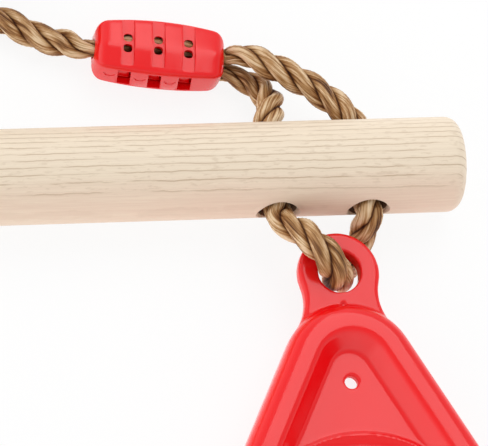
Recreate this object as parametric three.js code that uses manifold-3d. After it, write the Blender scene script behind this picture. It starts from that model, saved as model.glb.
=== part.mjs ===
// A child's trapeze bar with a gym ring under each end, laid on the floor as it comes out of the bag.
// Millimetres, +X along the bar, +Y away from the gym rings, +Z up, floor at z = 0.
// The +X end is built once and mirrored for the -X end.
import * as THREE from 'three';
import { mergeVertices } from 'three/addons/utils/BufferGeometryUtils.js';
import Module from 'manifold-3d';

const wasm = await Module();
wasm.setup();

// Wooden bar
const barLength = 580;
const barDiameter = 35;
const barEdgeRadius = 5;
const holeDiameter = 14;
const outerHoleFromEnd = 36;
const holeSpacing = 34;

// Rope, and how far the rope clamps squeeze it
const ropeDiameter = 12;
const squeezedDiameter = 7.2;
const faceGap = 0.3;
const legInset = 3.5;

// Rope clamp: a snap-together barrel of two shells
const clampLength = 47.5;
const clampWidth = 22;
const clampHeight = 19;
const clampCornerRadius = 6;
const clampEndShare = 0.83;
const clampEndRounding = 4;
const clampWall = 2.2;
const clampSplitBelowMiddle = 4.2;
const slotWidth = 5.2;
const slotPitch = 11.3;
const slotShift = 1.9;
const slotDepth = 1.5;
const slotReach = 17;
const peepLength = 3.2;
const peepWidth = 3;
const peepBridge = 1.3;
const peepOffset = 1.2;
const windowWidth = 4.8;
const windowTopAboveMiddle = 7.5;
const windowBottomBelowMiddle = 1.8;
const hookSetback = 1.7;
const hookThickness = 1.4;
const hookRoot = 2;
const catchDepth = 1;
const catchHeight = 2.4;
const toothThickness = 2;
const ropeNip = 0.7;
const tailInset = 6;
const strandTurn = 5;
const strandAside = 2.6;
const strandRise = 2.8;
const neckLength = 9.6;
const neckSide = 2.4;
const mouthClearance = 1.2;

// Gym ring: a rounded triangle with a lug and an eye at its top corner
const ringApexHalfAngle = 27.7;
const eyeToGripEdge = 150;
const eyeToApex = 11.5;
const ringApexRadius = 25;
const ringCornerRadius = 30;
const ringRimWidth = 18;
const ringRimHeight = 18;
const eyeDiameter = 16.4;
const lugRadius = 15.4;
const lugThickness = 6;
const neckRadius = 18;
const webThickness = 4;
const archFromEye = 65.2;
const archRadius = 41;
const archBeadWidth = 4.4;
const archBeadHeight = 8;
const webHoleDiameter = 5;
const webHoleFromEye = 41;
const eyeFromBar = 24.6;
const eyeOffsetX = 3;
const eyeHeight = 15.6;

// Steel hanging ring
const steelRingDiameter = 56;
const steelWireDiameter = 7;
const steelRopeClearance = 1;

// Plan of the coil that the spare rope is put away in
const coilMiddleDiameter = 132;
const coilTurnGap = 0.6;
const coilInboard = 154;
const coilCentreFromBar = 150;
const coilStartAngle = 235;
const coilEndAngle = 90;
const coilExtraTurns = 2;
const coilSteps = 24;
const coilSides = 6;

// Where the two clamps lie, seen from above: how far in from the outer hole, and how far out
const lowerClampInboard = 70.1;
const lowerClampFromFace = 32.34;
const lowerClampHeading = -6.8;
const topClampInboard = 50;
const topClampFromBar = 199;
const topClampHeading = -20;
const steelRingReach = 42;

// Colours and finish
const woodColour = 0xead9bd;
const redColour = 0xe2242b;
const ropeColour = 0xa8875c;
const steelColour = 0xc9ccd0;

// Values worked out from the ones above
const barRadius = barDiameter / 2;
const ropeRadius = ropeDiameter / 2;
const squeezedRadius = squeezedDiameter / 2;
const holeX = barLength / 2 - outerHoleFromEnd;
const innerHoleX = holeX - holeSpacing;
const overrun = barDiameter;

const material = (color, roughness, metalness = 0) =>
  new THREE.MeshStandardMaterial({ color, roughness, metalness });
const wood = material(woodColour, 0.6);
const redPlastic = material(redColour, 0.28);
const rope = material(ropeColour, 0.8);
const steel = material(steelColour, 0.3, 1);

const radians = THREE.MathUtils.degToRad;
const polar = (radius, degrees) =>
  new THREE.Vector2(radius * Math.cos(radians(degrees)), radius * Math.sin(radians(degrees)));

// A closed geometry as a solid, and a solid as a geometry.
const mergeTolerance = 1e-4;
function solid(geometry) {
  const bare = new THREE.BufferGeometry();
  bare.setAttribute('position', geometry.getAttribute('position').clone());
  if (geometry.index) bare.setIndex(geometry.index.clone());
  const merged = mergeVertices(bare, mergeTolerance);
  return new wasm.Manifold(new wasm.Mesh({
    numProp: 3,
    vertProperties: new Float32Array(merged.getAttribute('position').array),
    triVerts: new Uint32Array(merged.index.array),
  }));
}

function geometryOf(body) {
  const mesh = body.getMesh();
  const geometry = new THREE.BufferGeometry();
  geometry.setAttribute('position', new THREE.BufferAttribute(mesh.vertProperties, 3));
  geometry.setIndex(new THREE.BufferAttribute(mesh.triVerts, 1));
  geometry.computeVertexNormals();
  return geometry;
}

// Skins a list of rings, each with the same number of points, and closes both ends or joins them.
function loft(rings, joined = false) {
  const sides = rings[0].length;
  const positions = rings.flat().flatMap((point) => point.toArray());
  const index = [];
  const spans = joined ? rings.length : rings.length - 1;
  for (let ring = 0; ring < spans; ring += 1) {
    const here = ring * sides;
    const next = ((ring + 1) % rings.length) * sides;
    for (let side = 0; side < sides; side += 1) {
      const beside = (side + 1) % sides;
      index.push(here + side, here + beside, next + beside);
      index.push(here + side, next + beside, next + side);
    }
  }
  if (!joined) {
    const last = (rings.length - 1) * sides;
    for (let side = 1; side < sides - 1; side += 1) {
      index.push(0, side + 1, side);
      index.push(last, last + side, last + side + 1);
    }
  }
  const geometry = new THREE.BufferGeometry();
  geometry.setAttribute('position', new THREE.Float32BufferAttribute(positions, 3));
  geometry.setIndex(index);
  return geometry;
}

// A round tube along a list of points, its radius changing from point to point.
function taperedTube(points, radii, sides = 10, headings = []) {
  const up = new THREE.Vector3(0, 0, 1);
  let across = null;
  const rings = points.map((point, i) => {
    const before = points[Math.max(i - 1, 0)];
    const after = points[Math.min(i + 1, points.length - 1)];
    const along = (headings[i] ?? after.clone().sub(before)).normalize();
    const start = across ?? along.clone().cross(up);
    across = start.sub(along.clone().multiplyScalar(start.dot(along))).normalize();
    const over = across.clone().cross(along);
    return Array.from({ length: sides }, (_, k) => {
      const turn = (2 * Math.PI * k) / sides;
      return point.clone()
        .addScaledVector(across, -radii[i] * Math.cos(turn))
        .addScaledVector(over, radii[i] * Math.sin(turn));
    });
  });
  return loft(rings);
}

// A tube of one radius along a smooth curve through the points.
function ropeTube(points, steps, sides = 8) {
  const section = new THREE.Shape(
    Array.from({ length: sides }, (_, k) => polar(ropeRadius, (360 * k) / sides)));
  return new THREE.ExtrudeGeometry(section, {
    steps,
    bevelEnabled: false,
    extrudePath: new THREE.CatmullRomCurve3(points, false, 'centripetal'),
  });
}

// Points and radii of a rope that is squeezed at one end or both, at even steps.
function squeezedRope(route, steps) {
  const curve = new THREE.CatmullRomCurve3(route.map((stop) => stop.at), false, 'centripetal');
  curve.arcLengthDivisions = steps * 8;
  const stopShares = route.map((stop, i) => i / (route.length - 1));
  const points = [];
  const radii = [];
  const headings = [];
  for (let i = 0; i <= steps; i += 1) {
    const t = curve.getUtoTmapping(i / steps);
    const span = Math.min(Math.floor(t * (route.length - 1)), route.length - 2);
    const share = (t - stopShares[span]) * (route.length - 1);
    points.push(curve.getPoint(t));
    headings.push(curve.getTangent(t));
    radii.push(THREE.MathUtils.lerp(route[span].radius, route[span + 1].radius, share));
  }
  return { points, radii, headings };
}

const squeezedSides = 8;
const tubeOf = ({ points, radii, headings }) =>
  taperedTube(points, radii, squeezedSides, headings);

// Wooden bar: a dowel with rounded ends and two rope holes across each end.
function makeBar() {
  const half = barLength / 2;
  const rim = barRadius - barEdgeRadius;
  const profile = [new THREE.Vector2(0, -half)];
  const arcSteps = 4;
  for (let i = 0; i <= arcSteps; i += 1) {
    const edge = polar(barEdgeRadius, -90 + (90 * i) / arcSteps);
    profile.push(new THREE.Vector2(rim + edge.x, -half + barEdgeRadius + edge.y));
  }
  for (let i = 0; i <= arcSteps; i += 1) {
    const edge = polar(barEdgeRadius, (90 * i) / arcSteps);
    profile.push(new THREE.Vector2(rim + edge.x, half - barEdgeRadius + edge.y));
  }
  profile.push(new THREE.Vector2(0, half));
  const dowel = new THREE.LatheGeometry(profile, 36).rotateZ(-Math.PI / 2);
  let body = solid(dowel);
  for (const x of [-holeX, -innerHoleX, innerHoleX, holeX]) {
    const drill = new THREE.CylinderGeometry(
      holeDiameter / 2, holeDiameter / 2, barDiameter + overrun, 16).translate(x, 0, 0);
    body = body.subtract(solid(drill));
  }
  return geometryOf(body).translate(0, 0, barRadius);
}

// Rope clamp, in its own frame: +X towards the end where two ropes come out.
const clampHalf = clampLength / 2;
const strandSide = new THREE.Vector3(0, strandAside, strandRise);
const tailSide = strandSide.clone().negate();
const strandWay = [
  new THREE.Vector3(-clampHalf, 0, 0),
  new THREE.Vector3(-clampHalf + strandTurn, 0, 0),
  strandSide.clone().setX(-tailInset - strandTurn),
  strandSide.clone().setX(-tailInset),
  strandSide.clone().setX(clampHalf),
];

function clampSection(x, scale) {
  const corner = clampCornerRadius * scale;
  const y = (clampWidth / 2) * scale - corner;
  const z = (clampHeight / 2) * scale - corner;
  const cornerSteps = 3;
  const points = [];
  [[y, z], [-y, z], [-y, -z], [y, -z]].forEach(([cy, cz], quarter) => {
    for (let i = 0; i <= cornerSteps; i += 1) {
      const arc = polar(corner, 90 * quarter + (90 * i) / cornerSteps);
      points.push(new THREE.Vector3(x, cy + arc.x, cz + arc.y));
    }
  });
  return points;
}

function clampBarrel() {
  const straight = clampHalf - clampEndRounding;
  const stations = [];
  const roundingSteps = 2;
  for (let i = 0; i <= roundingSteps; i += 1) {
    const arc = polar(clampEndRounding, 90 - (90 * i) / roundingSteps);
    const drop = (2 * (clampEndRounding - arc.y)) / clampWidth;
    stations.push([straight + arc.x, clampEndShare - drop]);
  }
  const bulge = (x) => 1 - (1 - clampEndShare) * (x / straight) ** 2;
  const bellySteps = 2;
  const belly = [];
  for (let i = -bellySteps + 1; i < bellySteps; i += 1) {
    const x = (straight * i) / bellySteps;
    belly.push([x, bulge(x)]);
  }
  const right = stations.map(([x, scale]) => [x, scale]);
  const left = stations.map(([x, scale]) => [-x, scale]).reverse();
  return loft([...left, ...belly, ...right].map(([x, scale]) => clampSection(x, scale)));
}

function box(width, depth, height, x, y, z) {
  return solid(new THREE.BoxGeometry(width, depth, height).translate(x, y, z));
}

// The way that the ropes take through the clamp, with the nip that its teeth leave.
function ropeWay() {
  const radius = squeezedRadius + ropeNip;
  const past = new THREE.Vector3(clampEndRounding, 0, 0);
  const strand = [
    strandWay[0].clone().sub(past),
    ...strandWay,
    strandWay[strandWay.length - 1].clone().add(past),
  ];
  const tail = [
    tailSide.clone().setX(-tailInset).sub(past),
    tailSide.clone().setX(clampHalf).add(past),
  ];
  const tube = (points, steps) => solid(tubeOf(
    squeezedRope(points.map((at) => ({ at, radius })), steps)));
  return tube(strand, 10).add(tube(tail, 1));
}

function makeClampShells() {
  const barrel = solid(clampBarrel());
  const split = -clampSplitBelowMiddle;
  const top = clampHeight / 2;
  const slotXs = [-1, 0, 1].map((place) => place * slotPitch - slotShift);
  let hollow = ropeWay();
  const chamberLength = slotPitch - toothThickness;
  const innerWidth = clampWidth * clampEndShare - 2 * clampWall;
  const innerHeight = clampHeight * clampEndShare - 2 * clampWall;
  for (const x of slotXs) {
    hollow = hollow.add(box(chamberLength, innerWidth, innerHeight, x, 0, 0));
  }

  let cover = barrel.subtract(
    box(clampLength + overrun, clampWidth + overrun, clampHeight, 0, 0, split - clampHeight / 2));
  cover = cover.subtract(hollow);
  let base = barrel.subtract(
    box(clampLength + overrun, clampWidth + overrun, clampHeight, 0, 0,
      split - faceGap + clampHeight / 2));

  // A block between two heights, measured from the clamp's middle.
  const block = (width, depth, low, high, x, y) =>
    box(width, depth, high - low, x, y, (low + high) / 2);
  const hookY = clampWidth / 2 - hookSetback - hookThickness / 2;
  const windowLow = -windowBottomBelowMiddle;
  const windowHigh = windowTopAboveMiddle;
  for (const x of slotXs) {
    // A shallow slot across the top, with two peepholes down to the rope.
    cover = cover.subtract(box(slotWidth, slotReach, slotDepth * 2, x, 0, top));
    const rear = peepBridge / 2 + peepWidth / 2 + peepOffset;
    const front = peepOffset - peepBridge / 2 - peepWidth / 2;
    for (const y of [rear, front]) {
      cover = cover.subtract(box(peepLength, peepWidth, clampHeight / 2, x, y, clampHeight / 2));
    }
    // A window in each side, where a hook of the base catches on its lower edge.
    for (const side of [-1, 1]) {
      const y = side * hookY;
      const catchY = side * (hookY + (hookThickness + catchDepth) / 2);
      const windowY = side * (clampWidth / 2);
      const windowDepth = 2 * (hookSetback + hookThickness / 2);
      const hookWidth = windowWidth - 2 * faceGap;
      const pocketDepth = hookThickness + 2 * faceGap;
      cover = cover
        .subtract(block(windowWidth, pocketDepth, split - faceGap, windowHigh, x, y))
        .subtract(block(windowWidth, windowDepth, windowLow, windowHigh, x, windowY));
      base = base
        .add(block(hookWidth, hookThickness, split - hookRoot, windowHigh - faceGap, x, y))
        .add(block(hookWidth, catchDepth + hookThickness, windowLow + faceGap,
          windowLow + faceGap + catchHeight, x, catchY - side * hookThickness / 2));
    }
  }
  base = base.subtract(hollow);
  return { cover: geometryOf(cover), base: geometryOf(base) };
}

// Gym ring, in its own frame: origin at the eye's centre, +Y towards the bar, +Z up.
const apexAngle = radians(ringApexHalfAngle);

function ringCorner(centre, radius, from, to, steps) {
  return Array.from({ length: steps + 1 }, (_, i) =>
    polar(radius, from + ((to - from) * i) / steps).add(centre));
}

// The middle line of the rim: a rounded triangle, run anticlockwise from its left side.
function rimLine(inset) {
  const apexCentre = new THREE.Vector2(0, -eyeToApex - ringApexRadius);
  const tip = apexCentre.y + ringApexRadius / Math.sin(apexAngle);
  const halfBase = (tip + eyeToGripEdge) * Math.tan(apexAngle);
  const baseAngle = (Math.PI / 2 - apexAngle) / 2;
  const cornerX = halfBase - ringCornerRadius / Math.tan(baseAngle);
  const cornerY = -eyeToGripEdge + ringCornerRadius;
  const tilt = ringApexHalfAngle;
  const corner = ringCornerRadius - inset;
  return [
    ...ringCorner(apexCentre, ringApexRadius - inset, tilt, 180 - tilt, 8),
    ...ringCorner(new THREE.Vector2(-cornerX, cornerY), corner, 180 - tilt, 270, 6),
    ...ringCorner(new THREE.Vector2(cornerX, cornerY), corner, -90, tilt, 6),
  ];
}

function ringRim() {
  const line = rimLine(ringRimWidth / 2);
  const sides = 12;
  const squareness = 0.72;
  const rings = line.map((point, i) => {
    const before = line[(i + line.length - 1) % line.length];
    const after = line[(i + 1) % line.length];
    const along = after.clone().sub(before).normalize();
    const outward = new THREE.Vector3(along.y, -along.x, 0);
    return Array.from({ length: sides }, (_, k) => {
      const turn = (-2 * Math.PI * (k + 1 / 2)) / sides;
      const round = (value) => Math.sign(value) * Math.abs(value) ** squareness;
      return new THREE.Vector3(point.x, point.y, 0)
        .addScaledVector(outward, (ringRimWidth / 2) * round(Math.cos(turn)))
        .add(new THREE.Vector3(0, 0, (ringRimHeight / 2) * round(Math.sin(turn))));
    });
  });
  return loft(rings, true);
}

function plate(shape, thickness, bevel = 0) {
  const geometry = new THREE.ExtrudeGeometry(shape, {
    depth: thickness - 2 * bevel,
    steps: 1,
    curveSegments: 7,
    bevelEnabled: bevel > 0,
    bevelThickness: bevel,
    bevelSize: bevel,
    bevelOffset: -bevel,
    bevelSegments: 1,
  });
  return solid(geometry.translate(0, 0, -thickness / 2 + bevel));
}

// The lug round the eye: a disc that flows through two hollow necks onto the rim's top corner, and
// ends inside the rim.
function lugShape() {
  const apexY = -eyeToApex - ringApexRadius;
  const toEye = lugRadius + neckRadius;
  const toApex = ringApexRadius + neckRadius;
  const apart = -apexY;
  const neckY = -(toEye ** 2 - toApex ** 2 + apart ** 2) / (2 * apart);
  const neckX = Math.sqrt(toEye ** 2 - neckY ** 2);
  const eyeAngle = Math.atan2(neckY, neckX);
  const apexTangent = Math.atan2(neckY - apexY, neckX);
  const shape = new THREE.Shape();
  shape.absarc(0, 0, lugRadius, eyeAngle, Math.PI - eyeAngle, false);
  shape.absarc(-neckX, neckY, neckRadius, -eyeAngle, -apexTangent, true);
  shape.absarc(0, apexY, ringApexRadius - ringRimWidth / 2,
    Math.PI - apexTangent, apexTangent, true);
  shape.absarc(neckX, neckY, neckRadius, Math.PI + apexTangent, Math.PI + eyeAngle, true);
  return shape;
}

function ringWeb() {
  const inside = rimLine(ringRimWidth / 2).filter((point) => point.y > -eyeToGripEdge / 2);
  const apexCentre = new THREE.Vector2(0, -eyeToApex - ringApexRadius);
  const reach = archFromEye + archRadius / 2;
  const half = (reach + apexCentre.y + (ringApexRadius - ringRimWidth / 2) / Math.sin(apexAngle))
    * Math.tan(apexAngle);
  const outline = new THREE.Shape([...inside,
    new THREE.Vector2(-half, -reach), new THREE.Vector2(half, -reach)]);
  const archCentre = -archFromEye - archRadius;
  const disc = (radius, height) => solid(
    new THREE.CylinderGeometry(radius, radius, height, 36)
      .rotateX(Math.PI / 2).translate(0, archCentre, 0));
  const web = plate(outline, webThickness);
  const bead = plate(outline, archBeadHeight, archBeadHeight / 4)
    .intersect(disc(archRadius + archBeadWidth, archBeadHeight + overrun));
  return web.add(bead).subtract(disc(archRadius, archBeadHeight + overrun));
}

function makeGymRing() {
  const drill = (diameter, y) => solid(
    new THREE.CylinderGeometry(diameter / 2, diameter / 2, ringRimHeight + overrun, 20)
      .rotateX(Math.PI / 2).translate(0, y, 0));
  const bevel = lugThickness / 4;
  const body = solid(ringRim())
    .add(plate(lugShape(), lugThickness, bevel))
    .add(ringWeb())
    .subtract(drill(eyeDiameter, 0))
    .subtract(drill(webHoleDiameter, -webHoleFromEye));
  return geometryOf(body);
}

// Places a clamp, or a piece in a clamp's frame, by the clamp's middle and heading.
function clampFrame(inboard, fromBar, heading) {
  const frame = new THREE.Matrix4().makeRotationZ(radians(heading));
  return frame.setPosition(holeX - inboard, fromBar, clampHeight / 2);
}

const lowerFrame = clampFrame(
  lowerClampInboard, barRadius + lowerClampFromFace, lowerClampHeading);
const topFrame = clampFrame(topClampInboard, topClampFromBar, topClampHeading);
const place = (frame, x, y, z) => new THREE.Vector3(x, y, z).applyMatrix4(frame);
const stop = (at, radius) => ({ at, radius });
const world = (x, y, z) => new THREE.Vector3(x, y, z);

// The strand that passes through a clamp and stands a little way out of its far end.
const neckDrop = clampHeight / 2 - ropeRadius - faceGap;
const neckRadiusHalfway = (ropeRadius + squeezedRadius) / 2;
function strandStops(frame) {
  return [
    stop(place(frame, -clampHalf - neckLength, neckSide, -neckDrop), ropeRadius),
    stop(place(frame, -clampHalf - neckLength / 2, neckSide / 3, -neckDrop / 2), neckRadiusHalfway),
    stop(place(frame, -clampHalf - mouthClearance, 0, 0), squeezedRadius),
    ...strandWay.map(({ x, y, z }) => stop(place(frame, x, y, z), squeezedRadius)),
    stop(place(frame, clampHalf + mouthClearance, strandSide.y, strandSide.z), squeezedRadius),
  ];
}

function tailStops(frame) {
  return [
    stop(place(frame, clampHalf + mouthClearance, tailSide.y, tailSide.z), squeezedRadius),
    stop(place(frame, clampHalf, tailSide.y, tailSide.z), squeezedRadius),
    stop(place(frame, 0, tailSide.y, tailSide.z), squeezedRadius),
    stop(place(frame, -tailInset, tailSide.y, tailSide.z), squeezedRadius),
  ];
}

// Points between the lower clamp and a hole, in rope diameters: from the hole along the bar, out
// from the bar's face, up from the hole, and the rope's radius there.
const outerLegShares = [
  [-3.35, 2.492, -0.258, 0.367], [-2.9, 2.275, -0.1, 0.45], [-2.35, 1.92, -0.017, 0.5],
  [-1.6, 1.46, -0.017, 0.5], [-1, 1.04, -0.008, 0.5], [-0.52, 0.608, 0, 0.5],
  [-0.13, 0.242, 0, 0.5], [0, -0.125, 0, 0.5],
];
const innerLegShares = [
  [-0.617, 2.042, -0.942, 0.367], [-0.225, 1.75, -0.942, 0.45], [0.083, 1.325, -0.792, 0.5],
  [0.2, 0.875, -0.458, 0.5], [0.117, 0.425, -0.125, 0.5], [0, -0.083, 0, 0.5],
];

function legStops(shares, x) {
  return [
    ...shares.map(([along, out, up, radius]) => stop(world(
      x + along * ropeDiameter,
      barRadius + out * ropeDiameter,
      barRadius + up * ropeDiameter), radius * ropeDiameter)),
    stop(world(x, 0, barRadius), ropeRadius),
    stop(world(x, -barRadius + legInset, barRadius), ropeRadius),
  ];
}

// The outer leg runs over the inner one, down to the bar and through its outer hole.
const outerLeg = () =>
  squeezedRope([...strandStops(lowerFrame), ...legStops(outerLegShares, holeX)], 30);

const innerLeg = () =>
  squeezedRope([...tailStops(lowerFrame).reverse(), ...legStops(innerLegShares, innerHoleX)], 24);

// From the inner hole over the lug, down through the ring's eye and back up to the outer hole:
// along the bar as a share of the hole spacing, out as a share of the eye's distance from the
// bar, and up in rope diameters.
const loopShares = [
  [0, -0.041, 0], [0, 0.033, 0], [0.038, 0.163, 0.142], [0.135, 0.333, 0.45],
  [0.276, 0.512, 0.65], [0.418, 0.732, 0.675], [0.538, 0.902, 0.425], [0.597, 0.972, -0.133],
  [0.635, 0.919, -0.633], [0.721, 0.748, -0.933], [0.832, 0.52, -0.95], [0.929, 0.321, -0.75],
  [0.985, 0.159, -0.275], [1, 0.041, 0], [1, -0.041, 0],
];

function ringLoop() {
  const inside = (x) => stop(world(x, -barRadius + legInset - faceGap, barRadius), ropeRadius);
  return squeezedRope([
    inside(innerHoleX),
    ...loopShares.map(([along, out, up]) => stop(world(
      innerHoleX + along * holeSpacing,
      -barRadius - out * eyeFromBar,
      barRadius + up * ropeDiameter), ropeRadius)),
    inside(holeX),
  ], 26);
}

// Main rope between the lower clamp and the coil, on the floor, from below the outer hole.
const runRoute = [
  [-112.2, 59.6, 6.1], [-119.2, 63.6, 6.1], [-127, 67.4, 6.1], [-142, 71, 6.1],
  [-158, 72.4, 6.1], [-175, 77.4, 6.1],
];

const coilMiddleRadius = coilMiddleDiameter / 2;
const coilPitch = ropeDiameter + coilTurnGap;

// The coil winds in on the floor, climbs a layer where it is smallest, and winds out again.
function coilPoints() {
  const sweep = coilStartAngle - coilEndAngle + 360 * coilExtraTurns;
  const steps = Math.round((coilSteps * sweep) / 360);
  const outer = coilMiddleRadius + coilPitch / 2;
  const climb = 180;
  return Array.from({ length: steps + 1 }, (_, i) => {
    const swept = (sweep * i) / steps;
    const fromTurn = Math.abs(swept - sweep / 2);
    const radius = outer - (coilPitch * (sweep / 2 - fromTurn)) / 360;
    const share = THREE.MathUtils.clamp((swept - sweep / 2) / climb + 1 / 2, 0, 1);
    const at = polar(radius, coilStartAngle - swept);
    return world(
      holeX - coilInboard + at.x, coilCentreFromBar + at.y, ropeRadius + share * coilPitch);
  });
}

// The least distance between turns that lie beside or above each other, less the rope.
function leastGap(points) {
  let least = Infinity;
  const apart = Math.round(coilSteps / 2);
  points.forEach((point, i) => {
    for (let j = i + apart; j < points.length - 1; j += 1) {
      const nearest = new THREE.Line3(points[j], points[j + 1])
        .closestPointToPoint(point, true, new THREE.Vector3());
      least = Math.min(least, nearest.distanceTo(point) - ropeDiameter);
    }
  });
  return least;
}

const coilLine = coilPoints();
console.log('least gap between the turns of the coil, mm:', leastGap(coilLine).toFixed(2));

// From the coil's upper layer down to the floor and into the top clamp.
const endRoute = [[16, -0.8, -1], [33, -3.5, -5.2], [48, -7.6, -9.8]];

// The eye at the rope's end: out of the top clamp, round the steel ring's wire and back in.
const wireLift = ropeRadius + steelWireDiameter / 2 + steelRopeClearance;
const wireHeight = ropeRadius + wireLift + 2 * faceGap;

// The eye's two sides: along as a share of the way to the wire, aside in rope diameters, up as a
// share of the eye's height, and the rope's radius in rope diameters.
const eyeTopShares = [
  [0.119, 0.2, 0.558, 0.383], [0.31, 0.133, 0.71, 0.5], [0.571, 0.05, 0.92, 0.5],
];
const eyeUndersideShares = [
  [0.571, -0.033, 0.239, 0.5], [0.31, -0.133, 0.239, 0.5], [0.119, -0.2, 0.239, 0.383],
];
function ropeEye() {
  const toWire = clampHalf + steelRingReach;
  const at = (x, y, z) => place(topFrame, x, y, z - clampHeight / 2);
  const bend = Array.from({ length: 5 }, (_, i) => {
    const arc = polar(wireLift, 90 - 45 * i);
    return stop(at(toWire + arc.x, 0, wireHeight + arc.y), ropeRadius);
  });
  const side = (shares) => shares.map(([along, aside, up, radius]) => stop(
    at(
      clampHalf + along * steelRingReach,
      aside * ropeDiameter,
      up * (wireHeight + wireLift)),
    radius * ropeDiameter));
  return squeezedRope([
    ...strandStops(topFrame),
    ...side(eyeTopShares),
    ...bend,
    ...side(eyeUndersideShares),
    ...tailStops(topFrame),
  ], 40);
}

// Steel ring, in its own frame: origin on the wire, ring reaching along +X.
function makeSteelRing() {
  const wire = steelWireDiameter / 2;
  const middle = (steelRingDiameter - steelWireDiameter) / 2;
  const ring = new THREE.TorusGeometry(middle, wire, 7, 24).translate(middle, 0, 0);
  return geometryOf(solid(ring));
}

// Node meshes. The builder of one end is run twice, the second time mirrored.
function mirrored(geometry) {
  const flipped = geometry.index ? geometry : mergeVertices(geometry, mergeTolerance);
  const copy = flipped.clone().scale(-1, 1, 1);
  const index = copy.index.array;
  for (let i = 0; i < index.length; i += 3) {
    [index[i], index[i + 1]] = [index[i + 1], index[i]];
  }
  copy.computeVertexNormals();
  return copy;
}

// A route from one rope face to another: it leaves and arrives square to them, a small gap off.
function between(from, leaving, route, to, arriving) {
  const out = leaving.clone().normalize();
  const into = arriving.clone().normalize();
  return [
    from.clone().addScaledVector(out, faceGap),
    from.clone().addScaledVector(out, ropeRadius / 2),
    ...route,
    to.clone().addScaledVector(into, -ropeRadius / 2),
    to.clone().addScaledVector(into, -faceGap),
  ];
}

function endPieces() {
  const shells = makeClampShells();
  const gymRing = makeGymRing();
  const ringDrop = Math.asin((eyeHeight - ringRimHeight / 2 - faceGap / 3)
    / (eyeToGripEdge - ringRimWidth / 2));
  const ringAt = new THREE.Matrix4().makeRotationX(ringDrop)
    .setPosition(innerHoleX + holeSpacing / 2 + eyeOffsetX, -barRadius - eyeFromBar, eyeHeight);
  const steelSpan = steelRingDiameter - steelWireDiameter;
  const steelDrop = Math.asin((wireHeight - steelWireDiameter / 2 - faceGap / 3) / steelSpan);
  const steelAt = topFrame.clone()
    .multiply(new THREE.Matrix4().makeTranslation(
      clampHalf + steelRingReach, 0, wireHeight - clampHeight / 2))
    .multiply(new THREE.Matrix4().makeRotationY(steelDrop));

  const outer = outerLeg();
  const eye = ropeEye();
  const [coilStart, coilNext] = coilLine;
  const [coilBefore, coilEnd] = coilLine.slice(-2);
  const runPoints = between(
    outer.points[0], outer.headings[0].clone().negate(),
    runRoute.map(([x, y, z]) => world(holeX + x, y, z)),
    coilStart, coilNext.clone().sub(coilStart));
  const endPoints = between(
    coilEnd, coilEnd.clone().sub(coilBefore),
    endRoute.map(([x, y, z]) => coilEnd.clone().add(world(x, y, z))),
    eye.points[0], eye.headings[0]);
  return [
    ['rope_outer_leg', tubeOf(outer), rope],
    ['rope_inner_leg', tubeOf(innerLeg()), rope],
    ['rope_ring_loop', tubeOf(ringLoop()), rope],
    ['lower_clamp_cover', shells.cover.clone().applyMatrix4(lowerFrame), redPlastic],
    ['lower_clamp_base', shells.base.clone().applyMatrix4(lowerFrame), redPlastic],
    ['gym_ring', gymRing.applyMatrix4(ringAt), redPlastic],
    ['rope_run', ropeTube(runPoints, 9), rope],
    ['rope_coil', taperedTube(coilLine, coilLine.map(() => ropeRadius), coilSides), rope],
    ['rope_end', ropeTube(endPoints, 7), rope],
    ['top_clamp_cover', shells.cover.clone().applyMatrix4(topFrame), redPlastic],
    ['top_clamp_base', shells.base.clone().applyMatrix4(topFrame), redPlastic],
    ['rope_eye', tubeOf(eye), rope],
    ['steel_ring', makeSteelRing().applyMatrix4(steelAt), steel],
  ];
}

// The origin is on the floor under the middle of the bar, its rings and its clamps, without the
// free rope and what hangs on its end.
const freeRope = /run|coil|end|eye|top_clamp|steel_ring/;
const trapeze = new THREE.Group();
const fixedPieces = new THREE.Box3();
function addNode(name, geometry, finish) {
  const mesh = new THREE.Mesh(geometry, finish);
  mesh.name = name;
  trapeze.add(mesh);
  if (!freeRope.test(name)) fixedPieces.expandByObject(mesh);
}

addNode('bar', makeBar(), wood);
for (const [name, geometry, finish] of endPieces()) {
  addNode(`right_${name}`, geometry, finish);
  addNode(`left_${name}`, mirrored(geometry), finish);
}
trapeze.position.y = -fixedPieces.getCenter(new THREE.Vector3()).y;

export default trapeze;
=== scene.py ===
# Looks for a child's trapeze bar with two gym rings, laid out on a pale studio floor.
# Metres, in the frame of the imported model. The right end is what the photograph shows.
import math

import bmesh
import bpy
import numpy as np
from mathutils import Matrix, Vector


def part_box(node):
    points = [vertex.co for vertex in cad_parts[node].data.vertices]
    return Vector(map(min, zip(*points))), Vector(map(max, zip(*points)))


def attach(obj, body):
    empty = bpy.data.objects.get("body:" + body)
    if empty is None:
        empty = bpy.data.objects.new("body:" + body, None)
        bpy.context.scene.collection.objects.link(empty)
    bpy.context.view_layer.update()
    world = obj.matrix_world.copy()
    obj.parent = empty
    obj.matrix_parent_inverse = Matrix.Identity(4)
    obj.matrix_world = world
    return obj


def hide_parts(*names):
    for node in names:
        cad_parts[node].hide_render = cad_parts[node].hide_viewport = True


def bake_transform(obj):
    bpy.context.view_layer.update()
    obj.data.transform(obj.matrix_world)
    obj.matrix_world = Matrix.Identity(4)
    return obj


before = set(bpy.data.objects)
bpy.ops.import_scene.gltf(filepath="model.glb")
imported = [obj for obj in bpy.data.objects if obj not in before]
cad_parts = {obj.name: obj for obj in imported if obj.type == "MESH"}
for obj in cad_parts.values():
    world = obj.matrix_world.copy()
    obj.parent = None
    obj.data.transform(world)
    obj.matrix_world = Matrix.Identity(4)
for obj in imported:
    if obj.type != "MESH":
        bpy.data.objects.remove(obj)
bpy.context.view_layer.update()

mm = 0.001
barLow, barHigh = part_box("bar")
barCentre = (barLow + barHigh) / 2
barRadius = (barHigh.z - barLow.z) / 2
barLength = barHigh.x - barLow.x


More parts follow.
